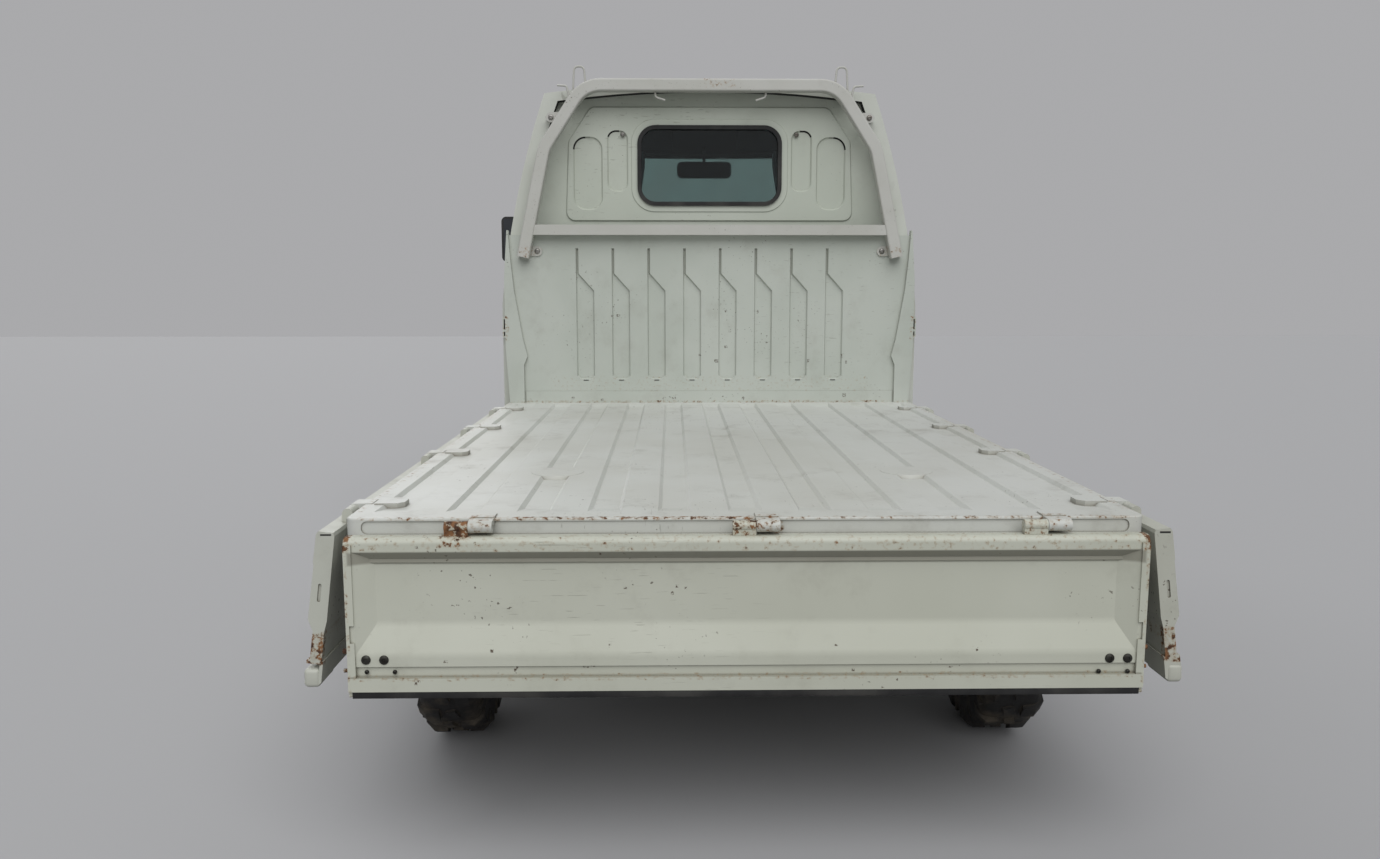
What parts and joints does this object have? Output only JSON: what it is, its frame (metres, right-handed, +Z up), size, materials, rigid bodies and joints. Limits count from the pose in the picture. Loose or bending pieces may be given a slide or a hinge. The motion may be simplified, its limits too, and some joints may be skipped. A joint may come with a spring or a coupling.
{
  "type": "small flatbed pickup truck",
  "caption": "Small forward-control pickup with a flat load bed, three drop sides hanging open, a guard frame and chunky tyres.",
  "frame": {"origin": "on the ground, at the middle of the truck's length and width", "axes": "+Y towards the front of the truck, +X to its right, +Z up"},
  "size_m": [1.772, 3.395, 1.8156],
  "materials": {
    "bed_white_paint": "worn white paint",
    "bed_wall_paint": "worn white paint",
    "guard_white_paint": "white paint",
    "tailgate_paint": "white paint with rust",
    "cab_white_paint": "white gloss paint",
    "rear_wall_paint": "white gloss paint",
    "screen_glass": "clear, lightly green",
    "rear_glass": "clear, dusty",
    "black_rubber": "matt",
    "bumper_plastic": "black, grained",
    "lamp_clear": "clear lens",
    "grille_plastic": "black",
    "dash_plastic": "dark grey, grained",
    "seat_cloth": "dark grey cloth",
    "mirror_black": "black",
    "column_plastic": "black",
    "steering_plastic": "black",
    "chassis_black": "black chassis paint",
    "floor_white": "white paint, dusty",
    "axle_black": "black, dusty",
    "spring_steel": "dark, rusty",
    "shaft_steel": "dark",
    "engine_alloy": "dull casting",
    "tank_black": "black paint",
    "exhaust_steel": "heat-stained",
    "arm_black": "black paint",
    "spare_rubber": "black rubber",
    "bar_black": "black paint",
    "lamp_red": "red lens",
    "gate_paint": "white paint with rust",
    "door_glass": "clear, lightly green",
    "knuckle_iron": "dark casting",
    "tyre_rubber": "black rubber, dusty",
    "rim_silver": "silver paint, dusty"
  },
  "bodies": {
    "chassis": {"bed_floor": "bed_white_paint", "bed_front_wall": "bed_wall_paint", "guard_frame": "guard_white_paint", "cab_side_left": "cab_white_paint", "cab_side_right": "cab_white_paint", "roof_panel": "cab_white_paint", "front_panel": "cab_white_paint", "cab_rear_wall": "rear_wall_paint", "windscreen": "screen_glass", "rear_window": "rear_glass", "rear_window_seal": "black_rubber", "front_bumper": "bumper_plastic", "headlamps": "lamp_clear", "grille": "grille_plastic", "dashboard": "dash_plastic", "seat_left": "seat_cloth", "seat_right": "seat_cloth", "cabin_mirror": "mirror_black", "steering_column": "column_plastic", "frame": "chassis_black", "cab_floor": "floor_white", "rear_axle": "axle_black", "leaf_springs": "spring_steel", "propshaft": "shaft_steel", "engine_block": "engine_alloy", "fuel_tank": "tank_black", "exhaust": "exhaust_steel", "suspension_arms": "arm_black", "spare_wheel": "spare_rubber", "rear_bar": "bar_black", "rear_lamps": "lamp_red"},
    "tailgate": {"tailgate": "tailgate_paint"},
    "steering_wheel": {"steering_wheel": "steering_plastic"},
    "side_gate_left": {"side_gate_left": "gate_paint"},
    "door_left": {"door_left": "cab_white_paint", "door_glass_left": "door_glass", "mirror_left": "mirror_black"},
    "knuckle_left": {"knuckle_left": "knuckle_iron"},
    "side_gate_right": {"side_gate_right": "gate_paint"},
    "door_right": {"door_right": "cab_white_paint", "door_glass_right": "door_glass", "mirror_right": "mirror_black"},
    "knuckle_right": {"knuckle_right": "knuckle_iron"},
    "wheel_front_left": {"tyre_front_left": "tyre_rubber", "rim_front_left": "rim_silver"},
    "wheel_front_right": {"tyre_front_right": "tyre_rubber", "rim_front_right": "rim_silver"},
    "wheel_rear_left": {"tyre_rear_left": "tyre_rubber", "rim_rear_left": "rim_silver"},
    "wheel_rear_right": {"tyre_rear_right": "tyre_rubber", "rim_rear_right": "rim_silver"}
  },
  "joints": [
    {"name": "knuckle_left_steer", "type": "hinge", "parent": "chassis", "child": "knuckle_left", "pos_m": [-0.6, 1.19, 0.27], "axis": [0, 0, 1], "range_deg": [-35, 35]},
    {"name": "knuckle_right_steer", "type": "hinge", "parent": "chassis", "child": "knuckle_right", "pos_m": [0.6, 1.19, 0.27], "axis": [0, 0, 1], "range_deg": [-35, 35]},
    {"name": "wheel_front_left_spin", "type": "hinge", "parent": "knuckle_left", "child": "wheel_front_left", "pos_m": [-0.64, 1.19, 0.27], "axis": [1, 0, 0], "continuous": true},
    {"name": "wheel_rear_left_spin", "type": "hinge", "parent": "chassis", "child": "wheel_rear_left", "pos_m": [-0.64, -1, 0.27], "axis": [1, 0, 0], "continuous": true},
    {"name": "door_left_open", "type": "hinge", "parent": "chassis", "child": "door_left", "pos_m": [-0.742, 1.352, 0.8], "axis": [0, 0, -1], "range_deg": [0, 65]},
    {"name": "side_gate_left_swing", "type": "hinge", "parent": "chassis", "child": "side_gate_left", "pos_m": [-0.74, -0.69, 0.645], "axis": [0, 1, 0], "range_deg": [0, 172.5]},
    {"name": "wheel_front_right_spin", "type": "hinge", "parent": "knuckle_right", "child": "wheel_front_right", "pos_m": [0.64, 1.19, 0.27], "axis": [1, 0, 0], "continuous": true},
    {"name": "wheel_rear_right_spin", "type": "hinge", "parent": "chassis", "child": "wheel_rear_right", "pos_m": [0.64, -1, 0.27], "axis": [1, 0, 0], "continuous": true},
    {"name": "door_right_open", "type": "hinge", "parent": "chassis", "child": "door_right", "pos_m": [0.742, 1.352, 0.8], "axis": [0, 0, 1], "range_deg": [0, 65]},
    {"name": "side_gate_right_swing", "type": "hinge", "parent": "chassis", "child": "side_gate_right", "pos_m": [0.74, -0.69, 0.645], "axis": [0, -1, 0], "range_deg": [0, 172.5]},
    {"name": "steering_wheel_turn", "type": "hinge", "parent": "chassis", "child": "steering_wheel", "pos_m": [0.335, 0.935, 0.99], "axis": [0, -0.7431, 0.6691], "range_deg": [-500, 500]},
    {"name": "tailgate_swing", "type": "hinge", "parent": "chassis", "child": "tailgate", "pos_m": [0, -1.674, 0.645], "axis": [-1, 0, 0], "range_deg": [0, 180]}
  ],
  "couplings": [
    {"joint": "knuckle_right_steer", "follows": "knuckle_left_steer", "ratio": 1},
    {"joint": "steering_wheel_turn", "follows": "knuckle_left_steer", "ratio": 14}
  ]
}
